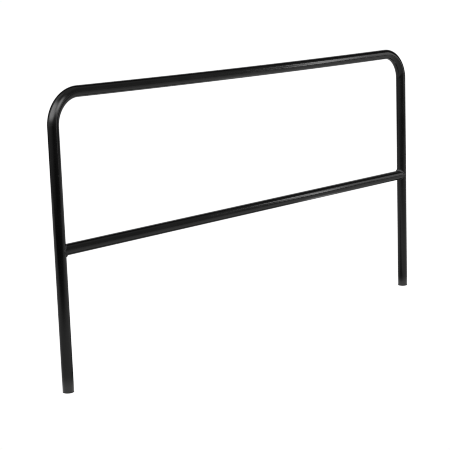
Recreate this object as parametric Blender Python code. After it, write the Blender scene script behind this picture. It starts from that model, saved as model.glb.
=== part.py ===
"""Pool handrail: a hoop bent from one round tube, a mid rail coped and welded between its legs, and a moulded plug
pressed into the foot of each leg. Metres, +Z up. The rail runs along X and stands in the plane Y = 0, and its
origin is at the level of its feet, midway between the legs."""

from math import cos, hypot, pi, radians, sin, sqrt

import bmesh
import bpy
from mathutils import Matrix, Vector

# The rail, outside to outside.
RAIL_LENGTH = 1.880
RAIL_HEIGHT = 1.002
TUBE_RADIUS = 0.01905
TUBE_WALL = 0.0030
BEND_RADIUS = 0.106  # of the tube's centreline
OVERBEND = radians(0.56)  # each bend turns this much past a right angle, so the top rail dips in its middle
MID_RAIL_HEIGHT = 0.4755  # of the mid rail's centreline, above the feet

# Clearance that separate solids keep where they touch.
GAP = 0.0003

# The weld bead round each end of the mid rail: its radius above, below and beside the mid rail. It fills the
# corners above and below. At the sides, where the two tubes run flush, it is a flatter cap.
BEAD_RADII = {"left": (0.0068, 0.0084, 0.0042), "right": (0.0100, 0.0060, 0.0042)}
BEAD_SINK = 0.0030  # how far the bead's centre lies under the seam
BEAD_SIDE_REACH = 0.0050  # from the leg's axis to the bead's centre, at the sides

# A hole under each joint lets hot gas out of the mid rail while it is welded and coated.
VENT_RADIUS = 0.0040

# The foot plug: a flange as wide as the tube, and a ribbed cup inside its bore.
FLANGE_THICKNESS = 0.0030
FLANGE_ROUNDING = 0.0010
PLUG_DEPTH = 0.0240  # above the flange
PLUG_CORE_RADIUS = 0.0140
PLUG_POCKET_RADIUS = 0.0120
PLUG_FLOOR = 0.0025
RIB_COUNT = 3
RIB_THICKNESS = 0.0016
RIB_SPACING = 0.0060
RIB_FIRST = 0.0030  # from the flange to the first rib

# Facets.
ROUND_SIDES = 40
BEND_STEPS = 14
DIP_STEPS = 6
PLUG_SIDES = 32
BEAD_STATIONS = 40
BEAD_SIDES = 14
ROUNDING_STEPS = 3
VENT_SIDES = 16
SMOOTH_ANGLE = radians(35)

# What follows from the sizes above.
BORE_RADIUS = TUBE_RADIUS - TUBE_WALL
LEG_X = RAIL_LENGTH / 2 - TUBE_RADIUS
LEG_FOOT_Z = FLANGE_THICKNESS + GAP

# Each leg's place along X, and its turn about Z: at both legs, local +X points along the mid rail.
SIDES = {"left": (-LEG_X, 0.0), "right": (LEG_X, pi)}

POWDER_BLACK = (0.013, 0.013, 0.014, 1.0)
MOULDED_BLACK = (0.018, 0.018, 0.018, 1.0)


def clear_scene():
    for obj in list(bpy.data.objects):
        bpy.data.objects.remove(obj, do_unlink=True)


def make_material(name, colour, roughness):
    material = bpy.data.materials.new(name)
    material.use_nodes = True
    shader = material.node_tree.nodes["Principled BSDF"]
    shader.inputs["Base Color"].default_value = colour
    shader.inputs["Roughness"].default_value = roughness
    shader.inputs["Metallic"].default_value = 0.0
    return material


def make_object(name, bm, material=None, parent=None):
    """The bmesh as a closed, outward-facing object of its own, in its parent's frame."""
    bmesh.ops.recalc_face_normals(bm, faces=bm.faces)
    mesh = bpy.data.meshes.new(name)
    bm.to_mesh(mesh)
    bm.free()
    mesh.shade_smooth()
    mesh.set_sharp_from_angle(angle=SMOOTH_ANGLE)
    obj = bpy.data.objects.new(name, mesh)
    obj.parent = parent
    if material:
        mesh.materials.append(material)
    bpy.context.scene.collection.objects.link(obj)
    return obj


def make_guide(name, x, z, turn):
    """An empty on the axis of a leg, which carries what is fitted there."""
    guide = bpy.data.objects.new(name, None)
    guide.location = (x, 0, z)
    guide.rotation_euler = (0, 0, turn)
    bpy.context.scene.collection.objects.link(guide)
    return guide


def make_cutter(name, radius, start, end, parent, sides=ROUND_SIDES):
    """A round bar from start to end, which only cuts."""
    along = end - start
    bm = bmesh.new()
    bmesh.ops.create_cone(
        bm,
        cap_ends=True,
        segments=sides,
        radius1=radius,
        radius2=radius,
        depth=along.length,
        matrix=Matrix.Translation((start + end) / 2) @ along.to_track_quat("Z", "Y").to_matrix().to_4x4(),
    )
    cutter = make_object(name, bm, parent=parent)
    cutter.hide_render = True
    cutter.display_type = "WIRE"
    return cutter


def cut(obj, cutter):
    modifier = obj.modifiers.new("cut by " + cutter.name, "BOOLEAN")
    modifier.operation = "DIFFERENCE"
    modifier.solver = "EXACT"
    modifier.object = cutter


def start_tube(bm, place):
    """The ring of faces at a tube's end, which place moves from the XY plane to where the tube starts."""
    loops = []
    for radius in (TUBE_RADIUS, BORE_RADIUS):
        verts = bmesh.ops.create_circle(bm, segments=ROUND_SIDES, radius=radius, matrix=place)["verts"]
        loops += {edge for vert in verts for edge in vert.link_edges}
    return bmesh.ops.bridge_loops(bm, edges=loops)["faces"]


def with_edges(faces):
    """The faces and their edges: given both, the tools take the old end away as they draw a new one."""
    return faces + list({edge for face in faces for edge in face.edges})


def run_straight(bm, end_faces, offset):
    """Draws the tube on by offset, and returns the ring of faces at its new end."""
    made = bmesh.ops.extrude_face_region(bm, geom=with_edges(end_faces))["geom"]
    verts = [part for part in made if isinstance(part, bmesh.types.BMVert)]
    bmesh.ops.translate(bm, verts=verts, vec=offset)
    return [part for part in made if isinstance(part, bmesh.types.BMFace)]


def run_bend(bm, end_faces, centre, angle, steps):
    """Draws the tube on round an axis along Y through centre, and returns the ring of faces at its new end."""
    made = bmesh.ops.spin(
        bm,
        geom=with_edges(end_faces),
        cent=centre,
        axis=(0, 1, 0),
        angle=angle,
        steps=steps,
    )["geom_last"]
    return [part for part in made if isinstance(part, bmesh.types.BMFace)]


def make_hoop(material):
    """Up the left leg, round the bend, along the dipping top, round the other bend and down the right leg."""
    bend_x = LEG_X - BEND_RADIUS
    bend_z = RAIL_HEIGHT - TUBE_RADIUS - BEND_RADIUS
    bend_angle = pi / 2 + OVERBEND
    dip_radius = bend_x / sin(OVERBEND) - BEND_RADIUS
    dip_z = bend_z + (BEND_RADIUS + dip_radius) * cos(OVERBEND)
    leg = Vector((0, 0, bend_z - LEG_FOOT_Z))
    bm = bmesh.new()
    end = start_tube(bm, Matrix.Translation((-LEG_X, 0, LEG_FOOT_Z)))
    end = run_straight(bm, end, leg)
    end = run_bend(bm, end, (-bend_x, 0, bend_z), bend_angle, BEND_STEPS)
    end = run_bend(bm, end, (0, 0, dip_z), -2 * OVERBEND, DIP_STEPS)
    end = run_bend(bm, end, (bend_x, 0, bend_z), bend_angle, BEND_STEPS)
    run_straight(bm, end, -leg)
    return make_object("hoop_tube", bm, material)


def make_mid_rail(material):
    """A straight tube from one leg's axis to the other's, before its ends are coped."""
    bm = bmesh.new()
    place = Matrix.Translation((-LEG_X, 0, 0)) @ Matrix.Rotation(pi / 2, 4, "Y")
    run_straight(bm, start_tube(bm, place), Vector((2 * LEG_X, 0, 0)))
    mid_rail = make_object("mid_rail", bm, material)
    mid_rail.location.z = MID_RAIL_HEIGHT
    return mid_rail


def bead_section(turn, radii):
    """(centre, outward, radius) of the bead, at an angle round the mid rail from its top."""
    above, below, beside = radii
    y = TUBE_RADIUS * sin(turn)
    z = TUBE_RADIUS * cos(turn)
    spread = sqrt((TUBE_RADIUS + GAP) ** 2 - BEAD_SIDE_REACH**2) / TUBE_RADIUS
    x = hypot(BEAD_SIDE_REACH, spread * z)
    off_leg = Vector((x, y, 0)).normalized()
    off_mid_rail = Vector((0, y, z)).normalized()
    outward = (off_leg + off_mid_rail).normalized()
    flush = off_leg.dot(off_mid_rail)
    in_corner = above if z > 0 else below
    radius = in_corner + (beside - in_corner) * flush
    return Vector((x, y, z)) - outward * BEAD_SINK, outward, radius


def make_weld(side, material, joint):
    """A bead swept round the seam, before the two tubes that it joins are cut out of it."""
    step = 2 * pi / BEAD_STATIONS
    bm = bmesh.new()
    rings = []
    for station in range(BEAD_STATIONS):
        turn = station * step
        centre, outward, radius = bead_section(turn, BEAD_RADII[side])
        ahead = bead_section(turn + step, BEAD_RADII[side])[0]
        behind = bead_section(turn - step, BEAD_RADII[side])[0]
        along = (ahead - behind).normalized()
        across = along.cross(outward).normalized()
        ring = []
        for corner in range(BEAD_SIDES):
            angle = 2 * pi * (corner + 0.5) / BEAD_SIDES
            offset = across * sin(angle) + across.cross(along) * cos(angle)
            ring.append(bm.verts.new(centre + offset * radius))
        rings.append(ring)
    for ring, following in zip(rings, rings[1:] + rings[:1]):
        for corner in range(BEAD_SIDES):
            onward = (corner + 1) % BEAD_SIDES
            bm.faces.new((ring[corner], ring[onward], following[onward], following[corner]))
    return make_object(side + "_weld", bm, material, parent=joint)


def make_joint(side, material, hoop, mid_rail):
    """The weld at one end of the mid rail, with the cope and the vent hole that belong to it."""
    x, turn = SIDES[side]
    joint = make_guide(side + "_joint", x, MID_RAIL_HEIGHT, turn)
    weld = make_weld(side, material, joint)
    axis = Vector((0, 0, 0))
    half = Vector((0, 0, 3 * TUBE_RADIUS))
    along_mid_rail = Vector((3 * TUBE_RADIUS, 0, 0))
    through_wall = Vector((1.5 * TUBE_RADIUS, 0, 0))
    leg_room = make_cutter(side + "_leg_room", TUBE_RADIUS + GAP, -half, half, joint)
    mid_rail_room = make_cutter(side + "_mid_rail_room", TUBE_RADIUS + GAP, axis, along_mid_rail, joint)
    vent_drill = make_cutter(side + "_vent_drill", VENT_RADIUS, axis, through_wall, joint, sides=VENT_SIDES)
    cut(mid_rail, leg_room)
    cut(weld, leg_room)
    cut(weld, mid_rail_room)
    cut(hoop, vent_drill)


def plug_outline():
    """(radius, height) round one half of the plug, from the middle of its sole to the middle of its pocket."""
    middle = TUBE_RADIUS - FLANGE_ROUNDING
    points = [(0, 0)]
    for step in range(ROUNDING_STEPS + 1):
        angle = pi / 2 * step / ROUNDING_STEPS
        points.append((middle + FLANGE_ROUNDING * sin(angle), FLANGE_ROUNDING * (1 - cos(angle))))
    points += [(TUBE_RADIUS, FLANGE_THICKNESS), (PLUG_CORE_RADIUS, FLANGE_THICKNESS)]
    for rib in range(RIB_COUNT):
        low = FLANGE_THICKNESS + RIB_FIRST + rib * RIB_SPACING
        points += [
            (PLUG_CORE_RADIUS, low),
            (BORE_RADIUS - GAP, low + RIB_THICKNESS / 2),
            (PLUG_CORE_RADIUS, low + RIB_THICKNESS),
        ]
    rim = FLANGE_THICKNESS + PLUG_DEPTH
    lead_in = (PLUG_CORE_RADIUS - PLUG_POCKET_RADIUS) / 2
    points += [(PLUG_CORE_RADIUS, rim - lead_in), (PLUG_CORE_RADIUS - lead_in, rim)]
    points += [(PLUG_POCKET_RADIUS, rim), (PLUG_POCKET_RADIUS, FLANGE_THICKNESS + PLUG_FLOOR)]
    points.append((0, FLANGE_THICKNESS + PLUG_FLOOR))
    return points


def make_plug(side, material):
    x, turn = SIDES[side]
    bm = bmesh.new()
    verts = [bm.verts.new((radius, 0, height)) for radius, height in plug_outline()]
    edges = [bm.edges.new(pair) for pair in zip(verts, verts[1:])]
    bmesh.ops.spin(
        bm,
        geom=verts + edges,
        cent=(0, 0, 0),
        axis=(0, 0, 1),
        angle=2 * pi,
        steps=PLUG_SIDES,
        use_merge=True,
    )
    bmesh.ops.remove_doubles(bm, verts=bm.verts, dist=1e-6)
    return make_object(side + "_foot_plug", bm, material, parent=make_guide(side + "_foot", x, 0, turn))


def main():
    clear_scene()
    powder_coat = make_material("powder_coat", POWDER_BLACK, 0.42)
    moulded_plastic = make_material("moulded_plastic", MOULDED_BLACK, 0.55)
    hoop = make_hoop(powder_coat)
    mid_rail = make_mid_rail(powder_coat)
    for side in SIDES:
        make_joint(side, powder_coat, hoop, mid_rail)
        make_plug(side, moulded_plastic)


main()
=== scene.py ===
"""Pool handrail: the visual model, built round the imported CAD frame. Metres, +Z up.

A hoop of black powder-coated tube and the mid rail welded between its legs stand on a white floor, in a
white studio, and are seen from the photograph's angle. Each CAD node is replaced by a finer mesh of the same
size."""

from math import cos, hypot, pi, radians, sin, sqrt

import bmesh
import bpy
from mathutils import Matrix, Vector, noise


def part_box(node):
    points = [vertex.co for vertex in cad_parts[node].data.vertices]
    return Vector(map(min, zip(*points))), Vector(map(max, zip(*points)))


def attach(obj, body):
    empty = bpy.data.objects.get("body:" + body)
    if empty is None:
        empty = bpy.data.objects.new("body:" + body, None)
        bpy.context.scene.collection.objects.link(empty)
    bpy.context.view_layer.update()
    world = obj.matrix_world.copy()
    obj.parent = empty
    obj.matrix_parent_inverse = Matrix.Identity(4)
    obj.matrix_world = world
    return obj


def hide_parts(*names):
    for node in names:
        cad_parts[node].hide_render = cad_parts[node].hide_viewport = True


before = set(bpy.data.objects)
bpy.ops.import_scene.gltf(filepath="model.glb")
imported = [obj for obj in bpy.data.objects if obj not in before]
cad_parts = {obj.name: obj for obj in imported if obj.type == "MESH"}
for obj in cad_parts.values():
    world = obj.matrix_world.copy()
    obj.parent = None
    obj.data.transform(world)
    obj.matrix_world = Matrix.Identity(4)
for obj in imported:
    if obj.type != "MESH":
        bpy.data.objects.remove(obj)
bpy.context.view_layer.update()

# What the CAD says.
HOOP_LOW, HOOP_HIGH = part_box("hoop_tube")
MID_LOW, MID_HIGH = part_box("mid_rail")
PLUG_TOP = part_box("left_foot_plug")[1].z
TUBE_RADIUS = (HOOP_HIGH.y - HOOP_LOW.y) / 2
LEG_X = (HOOP_HIGH.x - HOOP_LOW.x) / 2 - TUBE_RADIUS
LEG_FOOT_Z = HOOP_LOW.z
RAIL_HEIGHT = HOOP_HIGH.z
MID_RAIL_HEIGHT = (MID_LOW.z + MID_HIGH.z) / 2

# The tube, as in the CAD.
TUBE_WALL = 0.0030
BORE_RADIUS = TUBE_RADIUS - TUBE_WALL
BEND_RADIUS = 0.106
OVERBEND = radians(0.56)
BEND_X = LEG_X - BEND_RADIUS
BEND_Z = RAIL_HEIGHT - TUBE_RADIUS - BEND_RADIUS

# How far the mid rail and the beads reach in under a tube's surface, so that no gap shows.
SKIN = 0.0004


# ---- mesh tools ----------------------------------------------------------------------------------------


def full_turn(count):
    """The angles of a full turn, in equal steps."""
    return [2 * pi * i / count for i in range(count)]


def bridge(bm, rings, closed=True):
    """Faces between rings of vertices. When closed, the last ring is joined to the first."""
    next_rings = rings[1:] + rings[:1] if closed else rings[1:]
    for ring, following in zip(rings, next_rings):
        for i in range(len(ring)):
            j = (i + 1) % len(ring)
            bm.faces.new((ring[i], ring[j], following[j], following[i]))


def smooth_mesh(name, bm, angle=radians(40)):
    """A mesh object with smooth shading, and with its edges sharper than the angle marked."""
    bmesh.ops.recalc_face_normals(bm, faces=bm.faces)
    for face in bm.faces:
        face.smooth = True
    mesh = bpy.data.meshes.new(name)
    bm.to_mesh(mesh)
    bm.free()
    mesh.set_sharp_from_angle(angle=angle)
    obj = bpy.data.objects.new(name, mesh)
    bpy.context.scene.collection.objects.link(obj)
    return obj


# ---- the hoop ------------------------------------------------------------------------------------------

TUBE_SIDES = 96
EDGE_ROUNDING = 0.0005  # of the tube's outer edge at its feet
EDGE_STEPS = 4
LEG_STEP = 0.020
BEND_STEPS = 36
DIP_STEPS = 80


def hoop_line():
    """(point, heading) along the hoop's centreline, from the left foot to the right foot. The heading is the
    angle from straight up towards +X."""
    line = []
    leg_steps = round((BEND_Z - LEG_FOOT_Z) / LEG_STEP)
    for i in range(leg_steps):
        z = LEG_FOOT_Z + (BEND_Z - LEG_FOOT_Z) * i / leg_steps
        line.append((Vector((-LEG_X, 0, z)), 0.0))
    turned = pi / 2 + OVERBEND
    for i in range(BEND_STEPS):
        angle = turned * i / BEND_STEPS
        x = -BEND_X - BEND_RADIUS * cos(angle)
        z = BEND_Z + BEND_RADIUS * sin(angle)
        line.append((Vector((x, 0, z)), angle))
    dip_radius = BEND_X / sin(OVERBEND) - BEND_RADIUS
    dip_z = BEND_Z + (BEND_RADIUS + dip_radius) * cos(OVERBEND)
    for i in range(DIP_STEPS // 2 + 1):
        angle = -OVERBEND * (1 - 2 * i / DIP_STEPS)
        x = dip_radius * sin(angle)
        z = dip_z - dip_radius * cos(angle)
        line.append((Vector((x, 0, z)), pi / 2 - angle))
    other_half = [(Vector((-point.x, 0, point.z)), pi - heading) for point, heading in reversed(line[:-1])]
    return line + other_half


def ring_at(bm, point, heading, radius):
    """A round ring of vertices square to the heading."""
    out = Vector((-cos(heading), 0, sin(heading)))
    across = Vector((0, 1, 0))
    offsets = [out * cos(angle) + across * sin(angle) for angle in full_turn(TUBE_SIDES)]
    return [bm.verts.new(point + offset * radius) for offset in offsets]


def foot_ring(bm, foot, heading, step):
    """A ring of the rounded edge at a foot. Step 0 lies in the tube's cut face, the last one on its skin."""
    angle = pi / 2 * step / EDGE_STEPS
    point = foot + Vector((0, 0, EDGE_ROUNDING * (1 - cos(angle))))
    return ring_at(bm, point, heading, TUBE_RADIUS - EDGE_ROUNDING + EDGE_ROUNDING * sin(angle))


def make_hoop():
    """The bent tube: along its skin from foot to foot, and back through its bore."""
    line = hoop_line()
    start, start_heading = line[0]
    end, end_heading = line[-1]
    edge_steps = range(EDGE_STEPS + 1)
    bm = bmesh.new()
    rings = [foot_ring(bm, start, start_heading, step) for step in edge_steps]
    rings += [ring_at(bm, point, heading, TUBE_RADIUS) for point, heading in line[1:-1]]
    rings += [foot_ring(bm, end, end_heading, step) for step in reversed(edge_steps)]
    rings += [ring_at(bm, point, heading, BORE_RADIUS) for point, heading in reversed(line)]
    bridge(bm, rings)
    return smooth_mesh("hoop_skin", bm)


# ---- the mid rail --------------------------------------------------------------------------------------

COPE_LENGTH = 0.030 + TUBE_RADIUS  # from the leg's axis to where the rings are square to the mid rail
COPE_STEPS = 10
MID_STEPS = 60


def cope_ring(bm, side, share, radius):
    """A ring of the mid rail near the leg on that side, -1 or 1. At share 0 it follows the leg's surface, and
    at share 1 it would be square to the mid rail."""
    ring = []
    for angle in full_turn(TUBE_SIDES):
        y = radius * cos(angle)
        z = radius * sin(angle)
        on_leg = sqrt(max((TUBE_RADIUS - SKIN) ** 2 - y * y, 0))
        x = on_leg * (1 - share) + COPE_LENGTH * share
        ring.append(bm.verts.new((side * (LEG_X - x), y, MID_RAIL_HEIGHT + z)))
    return ring


def square_ring(bm, x, radius):
    """A ring square to the mid rail."""
    ring = []
    for angle in full_turn(TUBE_SIDES):
        ring.append(bm.verts.new((x, radius * cos(angle), MID_RAIL_HEIGHT + radius * sin(angle))))
    return ring


def make_mid_rail():
    """A straight tube with both ends cut to the round of the legs: along its skin, back through its bore."""
    straight = LEG_X - COPE_LENGTH
    shares = [i / COPE_STEPS for i in range(COPE_STEPS)]
    stations = [straight * (1 - 2 * i / MID_STEPS) for i in range(MID_STEPS + 1)]
    bm = bmesh.new()
    rings = []
    for radius, side in ((TUBE_RADIUS, -1), (BORE_RADIUS, 1)):
        rings += [cope_ring(bm, side, share, radius) for share in shares]
        rings += [square_ring(bm, side * x, radius) for x in stations]
        rings += [cope_ring(bm, -side, share, radius) for share in reversed(shares)]
    bridge(bm, rings)
    return smooth_mesh("mid_rail_skin", bm)


# ---- the welds -----------------------------------------------------------------------------------------

# As in the CAD: the bead's radius above, below and beside the mid rail, how far its centre lies under the
# seam, and how far from the leg's axis it lies at the sides.
BEAD_RADII = {"left": (0.0068, 0.0084, 0.0042), "right": (0.0100, 0.0060, 0.0042)}
BEAD_SINK = 0.0030
BEAD_SIDE_REACH = 0.0050

BEAD_SIDES = 28
RIPPLES = 64
RIPPLE_STATIONS = 8
RIPPLE_DEPTH = 0.00035
RIPPLE_SHARPNESS = 2.2
RIPPLE_WANDER = 0.8  # in ripples
RIPPLE_UNEVENNESS = 0.5  # of their depth
WANDER_SCALE = 2.1
WANDER_LAYER = 0.7
CUTTER_SIDES = 128
CUTTER_REACH = 0.06
MERGE_DISTANCE = 1e-6


def bead_section(turn, radii):
    """(centre, outward, radius) of the bead at an angle round the mid rail from its top, as in the CAD. Local
    +X points along the mid rail."""
    above, below, beside = radii
    y = TUBE_RADIUS * sin(turn)
    z = TUBE_RADIUS * cos(turn)
    spread = sqrt(TUBE_RADIUS**2 - BEAD_SIDE_REACH**2) / TUBE_RADIUS
    x = hypot(BEAD_SIDE_REACH, spread * z)
    off_leg = Vector((x, y, 0)).normalized()
    off_mid_rail = Vector((0, y, z)).normalized()
    outward = (off_leg + off_mid_rail).normalized()
    flush = off_leg.dot(off_mid_rail)
    in_corner = above if z > 0 else below
    radius = in_corner + (beside - in_corner) * flush
    return Vector((x, y, z)) - outward * BEAD_SINK, outward, radius


def ripple(turn):
    """How far the bead stands below its full size: overlapping crescents, as the pool of metal froze."""
    wander = noise.noise(Vector((cos(turn) * WANDER_SCALE, sin(turn) * WANDER_SCALE, WANDER_LAYER)))
    phase = (turn / (2 * pi) * RIPPLES + wander * RIPPLE_WANDER) % 1.0
    return RIPPLE_DEPTH * (abs(2 * phase - 1) ** RIPPLE_SHARPNESS) * (1 + RIPPLE_UNEVENNESS * wander)


def bead_ring(bm, place, turn, step, radii):
    """A ring of the bead's surface, square to the way that the bead runs there."""
    centre, outward, radius = bead_section(turn, radii)
    ahead = bead_section(turn + step, radii)[0]
    behind = bead_section(turn - step, radii)[0]
    along = (ahead - behind).normalized()
    across = along.cross(outward).normalized()
    radius -= ripple(turn)
    ring = []
    for corner in range(BEAD_SIDES):
        angle = 2 * pi * (corner + 0.5) / BEAD_SIDES
        offset = across * sin(angle) + across.cross(along) * cos(angle)
        ring.append(bm.verts.new(place @ (centre + offset * radius)))
    return ring


def make_cylinder_cutter(name, radius, start, end):
    """A round bar from start to end."""
    along = end - start
    turn = along.to_track_quat("Z", "X").to_matrix().to_4x4()
    bm = bmesh.new()
    bmesh.ops.create_cone(
        bm,
        cap_ends=True,
        segments=CUTTER_SIDES,
        radius1=radius,
        radius2=radius,
        depth=along.length,
        matrix=Matrix.Translation((start + end) / 2) @ turn,
    )
    return smooth_mesh(name, bm)


def cut(obj, cutter):
    """Takes the cutter's volume out of the object, and removes the cutter."""
    modifier = obj.modifiers.new("cut", "BOOLEAN")
    modifier.operation = "DIFFERENCE"
    modifier.solver = "EXACT"
    modifier.object = cutter
    bpy.context.view_layer.update()
    graph = bpy.context.evaluated_depsgraph_get()
    shaped = bpy.data.meshes.new_from_object(obj.evaluated_get(graph))
    obj.modifiers.clear()
    obj.data = shaped
    bpy.data.objects.remove(cutter, do_unlink=True)


def drop_folds(bm):
    """Removes the slivers that a cut leaves folded flat on each other, and any face left hanging."""
    by_corners = {}
    for face in bm.faces:
        by_corners.setdefault(frozenset(face.verts), []).append(face)
    folded = [face for faces in by_corners.values() if len(faces) > 1 for face in faces]
    bmesh.ops.delete(bm, geom=folded, context="FACES")
    hanging = [edge.link_faces[0] for edge in bm.edges if len(edge.link_faces) == 1]
    while hanging:
        bmesh.ops.delete(bm, geom=list(set(hanging)), context="FACES")
        hanging = [edge.link_faces[0] for edge in bm.edges if len(edge.link_faces) == 1]


def make_weld(name, side, x, turn_z):
    """A rippled bead round the seam, with the two tubes cut out of it."""
    here = Vector((x, 0, MID_RAIL_HEIGHT))
    place = Matrix.Translation(here) @ Matrix.Rotation(turn_z, 4, "Z")
    stations = RIPPLES * RIPPLE_STATIONS
    step = 2 * pi / stations
    bm = bmesh.new()
    rings = [bead_ring(bm, place, station * step, step, BEAD_RADII[side]) for station in range(stations)]
    bridge(bm, rings)
    rough = smooth_mesh(name, bm)
    up = Vector((0, 0, CUTTER_REACH))
    inward = Vector((cos(turn_z), 0, 0)) * CUTTER_REACH
    cut(rough, make_cylinder_cutter("leg_room", TUBE_RADIUS - SKIN, here - up, here + up))
    cut(rough, make_cylinder_cutter("mid_room", TUBE_RADIUS - SKIN, here, here + inward))
    bm = bmesh.new()
    bm.from_mesh(rough.data)
    bmesh.ops.remove_doubles(bm, verts=bm.verts, dist=MERGE_DISTANCE)
    bmesh.ops.triangulate(bm, faces=bm.faces)
    drop_folds(bm)
    bpy.data.objects.remove(rough, do_unlink=True)
    return smooth_mesh(name, bm)


# ---- the foot plugs ------------------------------------------------------------------------------------

# As in the CAD: the flange, the ribbed core and its pocket.
FLANGE_THICKNESS = 0.0030
FLANGE_ROUNDING = 0.0010
PLUG_CORE_RADIUS = 0.0140
PLUG_POCKET_RADIUS = 0.0120
PLUG_FLOOR = 0.0025
LEAD_IN = 0.0010
RIB_COUNT = 3
RIB_FIRST = 0.0030
RIB_SPACING = 0.0060
RIB_THICKNESS = 0.0016
RIB_RADIUS = BORE_RADIUS - 0.0003

# Finer than in the CAD: the hollow sole with the mark of the mould's gate in its middle, and softened edges.
GATE_RADIUS = 0.0011
GATE_DEPTH = 0.0009
GATE_MOUTH_RADIUS = 0.0013
GATE_LAND_RADIUS = 0.0020
HOLLOW_DEPTH = 0.0004
HOLLOW_RADIUS = 0.0125
HOLLOW_EDGE_RADIUS = 0.0130
STANDING_RADIUS = 0.0134  # of the sole's hollow at the floor
FLANGE_EASE = 0.0003
RIB_EASE = 0.0006
POCKET_EASE = 0.0005
PLUG_SIDES = 96
PLUG_ROUNDING_STEPS = 8


def plug_outline():
    """(radius, height) round half of the plug, from the middle of its sole to the middle of its pocket."""
    points = [
        (GATE_RADIUS, GATE_DEPTH),
        (GATE_MOUTH_RADIUS, HOLLOW_DEPTH),
        (GATE_LAND_RADIUS, HOLLOW_DEPTH),
        (HOLLOW_RADIUS, HOLLOW_DEPTH),
        (HOLLOW_EDGE_RADIUS, HOLLOW_DEPTH / 4),
        (STANDING_RADIUS, 0.0),
    ]
    middle = TUBE_RADIUS - FLANGE_ROUNDING
    for step in range(PLUG_ROUNDING_STEPS + 1):
        angle = pi / 2 * step / PLUG_ROUNDING_STEPS
        points.append((middle + FLANGE_ROUNDING * sin(angle), FLANGE_ROUNDING * (1 - cos(angle))))
    edge = FLANGE_THICKNESS
    points += [(TUBE_RADIUS, edge - FLANGE_EASE), (TUBE_RADIUS - FLANGE_EASE, edge), (PLUG_CORE_RADIUS, edge)]
    for rib in range(RIB_COUNT):
        low = edge + RIB_FIRST + rib * RIB_SPACING
        points += [
            (PLUG_CORE_RADIUS, low),
            (RIB_RADIUS, low + RIB_EASE),
            (RIB_RADIUS, low + RIB_THICKNESS - RIB_EASE),
            (PLUG_CORE_RADIUS, low + RIB_THICKNESS),
        ]
    points += [(PLUG_CORE_RADIUS, PLUG_TOP - LEAD_IN), (PLUG_CORE_RADIUS - LEAD_IN, PLUG_TOP)]
    pocket_floor = edge + PLUG_FLOOR
    points += [(PLUG_POCKET_RADIUS, PLUG_TOP), (PLUG_POCKET_RADIUS, pocket_floor + POCKET_EASE)]
    points.append((PLUG_POCKET_RADIUS - POCKET_EASE, pocket_floor))
    return points


def make_plug(name, x):
    """A moulded plug, turned about the leg's axis."""
    bm = bmesh.new()
    rings = []
    for radius, height in plug_outline():
        ring = []
        for angle in full_turn(PLUG_SIDES):
            ring.append(bm.verts.new((x + radius * cos(angle), radius * sin(angle), height)))
        rings.append(ring)
    bridge(bm, rings, closed=False)
    for ring in (rings[0], rings[-1]):
        middle = bm.verts.new((x, 0, ring[0].co.z))
        for i in range(PLUG_SIDES):
            bm.faces.new((ring[i], ring[(i + 1) % PLUG_SIDES], middle))
    return smooth_mesh(name, bm, angle=radians(30))


# ---- node trees ----------------------------------------------------------------------------------------


class Nodes:
    """A node tree being built. A value is an output of a node or a number."""

    def __init__(self, tree):
        self.tree = tree

    def add(self, kind):
        return self.tree.nodes.new("ShaderNode" + kind)

    def fill(self, socket, value):
        if isinstance(value, bpy.types.NodeSocket):
            self.tree.links.new(value, socket)
        else:
            socket.default_value = value

    def coordinate(self, kind):
        return self.add("TexCoord").outputs[kind]

    def split(self, vector):
        """The vector's X, Y and Z."""
        node = self.add("SeparateXYZ")
        self.fill(node.inputs[0], vector)
        return node.outputs[:]

    def math(self, operation, *values):
        node = self.add("Math")
        node.operation = operation
        for socket, value in zip(node.inputs, values):
            self.fill(socket, value)
        return node.outputs[0]

    def total(self, first, *others):
        for other in others:
            first = self.math("ADD", first, other)
        return first

    def product(self, first, *others):
        for other in others:
            first = self.math("MULTIPLY", first, other)
        return first

    def ranged(self, value, low, high, to_low=0.0, to_high=1.0):
        """From to_low below low to to_high above high, turning smoothly between them."""
        node = self.add("MapRange")
        node.interpolation_type = "SMOOTHSTEP"
        for socket, entry in zip(node.inputs, (value, low, high, to_low, to_high)):
            self.fill(socket, entry)
        return node.outputs[0]

    def compared(self, operation, vector, constant):
        """A number from the vector and a constant one: their DOT_PRODUCT or DISTANCE."""
        node = self.add("VectorMath")
        node.operation = operation
        self.fill(node.inputs[0], vector)
        node.inputs[1].default_value = constant
        return node.outputs["Value"]


# ---- materials -----------------------------------------------------------------------------------------


class Shader(Nodes):
    """The node tree of a Principled material. Its textures lie in the object's own metres."""

    def __init__(self, name):
        self.material = bpy.data.materials.new(name)
        self.material.use_nodes = True
        super().__init__(self.material.node_tree)
        self.surface = self.tree.nodes["Principled BSDF"]
        self.place = self.coordinate("Object")

    def set(self, name, value):
        self.fill(self.surface.inputs[name], value)

    def noise(self, scale, detail, roughness=0.5, distortion=0.0):
        node = self.add("TexNoise")
        node.inputs["Scale"].default_value = scale
        node.inputs["Detail"].default_value = detail
        node.inputs["Roughness"].default_value = roughness
        node.inputs["Distortion"].default_value = distortion
        self.fill(node.inputs["Vector"], self.place)
        return node.outputs["Fac"]

    def mix(self, factor, *colours):
        node = self.add("Mix")
        node.data_type = "RGBA"
        self.fill(node.inputs["Factor"], factor)
        sockets = [socket for socket in node.inputs if socket.type == "RGBA"]
        for socket, colour in zip(sockets, colours):
            self.fill(socket, colour)
        return [socket for socket in node.outputs if socket.type == "RGBA"][0]

    def bump(self, height, distance, under=None):
        node = self.add("Bump")
        node.inputs["Strength"].default_value = 1.0
        node.inputs["Distance"].default_value = distance
        self.fill(node.inputs["Height"], height)
        if under:
            self.fill(node.inputs["Normal"], under)
        return node.outputs["Normal"]


def grey(level):
    return (level, level, level, 1)


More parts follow.
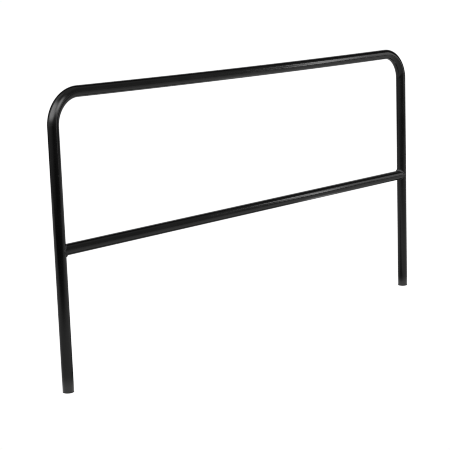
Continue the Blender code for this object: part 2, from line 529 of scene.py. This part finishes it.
COAT_GREYS = (grey(0.0087), grey(0.0122))
COAT_SPECK = grey(0.022)
COAT_ROUGHNESS = 0.13
WELD_COAT_ROUGHNESS = 0.40
PEEL_HEIGHT = 0.000009  # of the coat's orange peel
FINE_HEIGHT = 0.000002  # of the finer grain on it

PLASTIC_GREYS = (grey(0.014), grey(0.020))
SPARK_HEIGHT = 0.00003  # of the texture that the mould leaves


def powder_coat(name, roughness):
    """Black powder coat: a smooth film with a fine orange peel, slightly cloudy in colour and in gloss."""
    shader = Shader(name)
    cloud = shader.ranged(shader.noise(9.0, 4.0), 0.35, 0.65)
    speck = shader.ranged(shader.noise(900.0, 2.0), 0.62, 0.75, 0.0, 0.35)
    shader.set("Base Color", shader.mix(speck, shader.mix(cloud, *COAT_GREYS), COAT_SPECK))
    clouded = shader.ranged(cloud, 0.0, 1.0, roughness, roughness + 0.02)
    dull = shader.ranged(shader.noise(5.0, 5.0, 0.6, 0.6), 0.45, 0.75, 0.0, 0.02)
    shader.set("Roughness", shader.total(clouded, dull))
    peel = shader.bump(shader.noise(420.0, 1.5), PEEL_HEIGHT)
    shader.set("Normal", shader.bump(shader.noise(1600.0, 2.0), FINE_HEIGHT, under=peel))
    return shader.material


def moulded_plastic():
    """Black polyethylene with the fine spark texture of a mould."""
    shader = Shader("moulded_black")
    cloud = shader.ranged(shader.noise(60.0, 3.0), 0.3, 0.7)
    shader.set("Base Color", shader.mix(cloud, *PLASTIC_GREYS))
    grain = shader.noise(2400.0, 3.0)
    shader.set("Roughness", shader.ranged(grain, 0.3, 0.7, 0.42, 0.56))
    shader.set("Normal", shader.bump(grain, SPARK_HEIGHT))
    return shader.material


def dress(obj, material, slot, *nodes):
    """Gives a piece its material, and has it stand for the CAD nodes."""
    obj.data.materials.clear()
    obj.data.materials.append(material)
    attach(obj, "root")
    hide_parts(*nodes)


# ---- the studio ----------------------------------------------------------------------------------------

# The camera sees a white floor under a white sky. The coat mirrors something darker, as in a real studio: a
# patch of lit floor, a dim room, soft boxes and black flags. The levels are what it mirrors, and white is 1.
FLOOR_RADIUS = 85.0  # out past the horizon of every view
FLOOR_WHITE = 1.02
LIT_FLOOR_RADIUS = 4.5
DISC_SIDES = 128
INTO_PICTURE = (0.72, 0.69, 0)  # along the floor, the way the camera looks
STRIP_FOOT = (3.1, -1.8, 0)  # about where the strip light stands on the floor

ROOM_DARK = 0.024
ROOM_LIGHT = 0.128
CEILING = 0.18
LEFT_WALL = 0.44
RIGHT_WALL = 0.09
LEFT_BOX = 3.65
FRONT_BOX = 4.5
LOW_BOX = 1.1
BACKDROP = 0.55
BEHIND_RAIL = (0.705, 0.683, -0.19)  # the direction in which the camera looks


class Glow(Nodes):
    """The node tree of a glowing surface, or of the world."""

    def __init__(self, tree, output, emitter):
        super().__init__(tree)
        tree.nodes.clear()
        self.emitter = self.add(emitter)
        self.fill(self.add(output).inputs["Surface"], self.emitter.outputs[0])
        self.emitter.inputs["Color"].default_value = grey(1)

    def shine(self, level):
        self.fill(self.emitter.inputs["Strength"], level)

    def rise(self, angle, low, high):
        """From 0 to 1 as the angle goes from low to high, in degrees."""
        return self.ranged(angle, radians(low), radians(high))

    def fall(self, angle, low, high):
        """From 1 to 0 as the angle goes from low to high, in degrees."""
        return self.ranged(angle, radians(low), radians(high), 1.0, 0.0)

    def band(self, angle, low, full_from, full_to, high):
        """1 between full_from and full_to, and 0 outside low and high, in degrees."""
        return self.product(self.rise(angle, low, full_from), self.fall(angle, full_to, high))

    def lean(self, angle, other, slope):
        """The angle, moved on by the other one times the slope."""
        return self.total(angle, self.product(other, slope))


def glowing_disc(name, radius):
    """(disc, its node tree): a disc at floor level, which takes and casts no light of the lamps."""
    bm = bmesh.new()
    bmesh.ops.create_circle(bm, cap_ends=True, segments=DISC_SIDES, radius=radius)
    disc = smooth_mesh(name, bm)
    disc.visible_diffuse = False
    disc.visible_shadow = False
    material = bpy.data.materials.new(name)
    material.use_nodes = True
    disc.data.materials.append(material)
    return disc, Glow(material.node_tree, "OutputMaterial", "Emission")


def lit_floor_level(glow):
    """Dark near the camera, and lit from in front of the rail to the back, but for a painted shadow of the
    rail in a band under it. A painted pool of light where the strip light stands, and painted light round
    both feet."""
    place = glow.coordinate("Object")
    x, y, _ = glow.split(place)
    back = glow.ranged(glow.compared("DOT_PRODUCT", place, INTO_PICTURE), -2.15, -1.25, 0.02, 0.46)
    # A painted pool of light on the mirrored floor, where the strip light stands.
    painted_light_pool = glow.ranged(glow.compared("DISTANCE", place, STRIP_FOOT), 0.2, 1.1, 0.4, 0.0)
    # Painted light on the mirrored floor round both feet.
    painted_light_round_feet = []
    for foot_x in (-LEG_X, LEG_X):
        painted_light_round_feet.append(glow.ranged(glow.compared("DISTANCE", place, (foot_x, 0, 0)), 0.06, 0.22, 0.6, 0.0))
    # A painted shadow of the rail: the mirrored floor made darker in a band under it, between the legs.
    under = glow.ranged(glow.math("ABSOLUTE", y), 0.04, 0.26, 0.8, 0.0)
    between_legs = glow.ranged(glow.math("ABSOLUTE", x), 0.78, 0.90, 1.0, 0.0)
    shade = glow.math("SUBTRACT", 1.0, glow.product(under, between_legs))
    front = glow.ranged(y, -1.6, -0.7, 0.7, 1.0)
    return glow.total(glow.product(back, shade, front), painted_light_pool, *painted_light_round_feet)


def make_floor():
    """The white floor that the camera sees, and the lit floor that the coat mirrors in its place."""
    floor, glow = glowing_disc("floor", FLOOR_RADIUS)
    floor.visible_glossy = False
    glow.shine(FLOOR_WHITE)
    mirrored, glow = glowing_disc("lit_floor", LIT_FLOOR_RADIUS)
    mirrored.visible_camera = False
    glow.shine(lit_floor_level(glow))


def mirrored_room_level(glow, place):
    """A dim room, with a bright soft box to the left, another in front with slanting edges, and a small one
    low down. Behind the rail all is flagged off black, but for a grey backdrop in the middle. Azimuths go
    from the front, -Y, towards +X."""
    x, y, z = glow.split(place)
    elevation = glow.math("ARCSINE", z)
    azimuth = glow.math("ARCTAN2", x, glow.product(y, -1.0))

    room = glow.ranged(elevation, radians(-6), radians(2), ROOM_DARK, ROOM_LIGHT)
    ceiling = glow.product(glow.rise(elevation, 30, 62), CEILING)
    wall_width = glow.band(azimuth, -179, -150, -100, -35)
    left_wall = glow.product(wall_width, glow.rise(elevation, -18, 2), LEFT_WALL)
    wall_width = glow.band(azimuth, 8, 38, 80, 110)
    right_wall = glow.product(wall_width, glow.band(elevation, -40, -20, -6, 2), RIGHT_WALL)

    droop = glow.math("MAXIMUM", glow.total(azimuth, radians(70)), 0.0)
    top_edge = glow.fall(glow.lean(elevation, droop, 0.22), 47, 67)
    box_width = glow.band(azimuth, -142, -118, -60, 2)
    left_box = glow.product(glow.rise(elevation, 4, 23), top_edge, box_width, LEFT_BOX)

    climb = glow.math("MINIMUM", elevation, radians(24))
    left_edge = glow.rise(glow.lean(azimuth, climb, 1.5), 0, 36)
    right_edge = glow.fall(glow.lean(azimuth, elevation, 0.45), 15, 32)
    front_box = glow.product(glow.band(elevation, -5, 16, 26, 58), left_edge, right_edge, FRONT_BOX)
    box_width = glow.band(azimuth, 19, 27, 31, 38)
    low_box = glow.product(glow.band(elevation, -9, -4, 0, 6), box_width, LOW_BOX)

    beyond = glow.compared("DOT_PRODUCT", place, BEHIND_RAIL)
    flag = glow.ranged(beyond, cos(radians(82)), cos(radians(66)), 1.0, 0.0)
    backdrop = glow.ranged(beyond, cos(radians(54)), cos(radians(38)), 0.0, BACKDROP)
    lights = glow.total(room, ceiling, left_wall, right_wall, left_box, front_box, low_box)
    return glow.total(glow.product(lights, flag), backdrop)


def make_world():
    """White to the camera, and the mirrored room to the coat. It lights nothing else."""
    world = bpy.data.worlds.new("studio")
    bpy.context.scene.world = world
    world.use_nodes = True
    world.cycles_visibility.diffuse = False
    glow = Glow(world.node_tree, "OutputWorld", "Background")
    level = mirrored_room_level(glow, glow.coordinate("Generated"))
    seen = glow.add("LightPath").outputs["Is Camera Ray"]
    glow.shine(glow.total(glow.product(level, glow.math("SUBTRACT", 1.0, seen)), seen))


def make_light(name, place, aim, up, width, height, radiance, seen_by_gloss=True):
    """A soft panel facing the aim, with its height along the given way up."""
    light = bpy.data.lights.new(name, "AREA")
    light.shape = "RECTANGLE"
    light.size = width
    light.size_y = height
    light.energy = radiance * width * height * pi
    obj = bpy.data.objects.new(name, light)
    bpy.context.scene.collection.objects.link(obj)
    place = Vector(place)
    up = Vector(up).normalized()
    away = place - Vector(aim)
    away = (away - up * away.dot(up)).normalized()
    turn = Matrix((up.cross(away), up, away)).transposed().to_4x4()
    obj.matrix_world = Matrix.Translation(place) @ turn
    obj.visible_camera = False
    obj.visible_glossy = seen_by_gloss


def make_lights():
    """A narrow strip and a dim panel beside it, which draw the highlight on the right half of the rail, and a
    fill that lights only the coat's own colour."""
    make_light(
        "strip",
        place=(2.83, -1.88, 1.70),
        aim=(0.4, 0, 0.8),
        up=(0.37, 0, 1),
        width=0.24,
        height=2.2,
        radiance=4.1,
    )
    make_light(
        "side_panel",
        place=(3.82, -1.95, 1.75),
        aim=(0.75, 0, 0.98),
        up=(0, 0, 1),
        width=0.75,
        height=2.6,
        radiance=1.0,
    )
    make_light(
        "fill",
        place=(-0.2, -1.8, 1.0),
        aim=(0.5, 0, 0.6),
        up=(0, 0, 1),
        width=1.2,
        height=1.2,
        radiance=5.0,
        seen_by_gloss=False,
    )


# The camera, at the photograph's viewing angle. Yaw turns from +Y towards +X, and pitch is down.
CAMERA_PLACE = (-3.6403, -3.3781, 1.3776)
CAMERA_YAW = radians(45.922)
CAMERA_PITCH = radians(10.982)
CAMERA_ROLL = radians(-1.98)
CAMERA_LENS = 108.81
CAMERA_SENSOR = 36.0
CAMERA_SIGHT = 300.0


def make_camera():
    camera = bpy.data.cameras.new("camera")
    camera.lens = CAMERA_LENS
    camera.sensor_width = CAMERA_SENSOR
    camera.clip_end = CAMERA_SIGHT
    obj = bpy.data.objects.new("camera", camera)
    bpy.context.scene.collection.objects.link(obj)
    level_ahead = Vector((sin(CAMERA_YAW), cos(CAMERA_YAW), 0))
    ahead = level_ahead * cos(CAMERA_PITCH) - Vector((0, 0, sin(CAMERA_PITCH)))
    right = Vector((cos(CAMERA_YAW), -sin(CAMERA_YAW), 0))
    up = right.cross(ahead)
    turned_right = right * cos(CAMERA_ROLL) + up * sin(CAMERA_ROLL)
    turned_up = up * cos(CAMERA_ROLL) - right * sin(CAMERA_ROLL)
    turn = Matrix((turned_right, turned_up, -ahead)).transposed().to_4x4()
    obj.matrix_world = Matrix.Translation(CAMERA_PLACE) @ turn
    bpy.context.scene.camera = obj


# ---- the whole picture ---------------------------------------------------------------------------------

hoop = make_hoop()
mid_rail = make_mid_rail()
left_weld = make_weld("left_bead", "left", -LEG_X, 0.0)
right_weld = make_weld("right_bead", "right", LEG_X, pi)
left_plug = make_plug("left_plug", -LEG_X)
right_plug = make_plug("right_plug", LEG_X)

coat = powder_coat("powder_coat_black", COAT_ROUGHNESS)
weld_coat = powder_coat("powder_coat_on_weld", WELD_COAT_ROUGHNESS)
plastic = moulded_plastic()
dress(hoop, coat, "powder_coat", "hoop_tube")
dress(mid_rail, coat, "powder_coat", "mid_rail")
dress(left_weld, weld_coat, "powder_coat", "left_weld")
dress(right_weld, weld_coat, "powder_coat", "right_weld")
dress(left_plug, plastic, "foot_plug", "left_foot_plug")
dress(right_plug, plastic, "foot_plug", "right_foot_plug")

make_floor()
make_world()
make_lights()
make_camera()
bpy.context.scene.view_settings.view_transform = "Standard"  # so that white stays white
bpy.context.scene.cycles.filter_width = 0.95  # as crisp as a product photograph
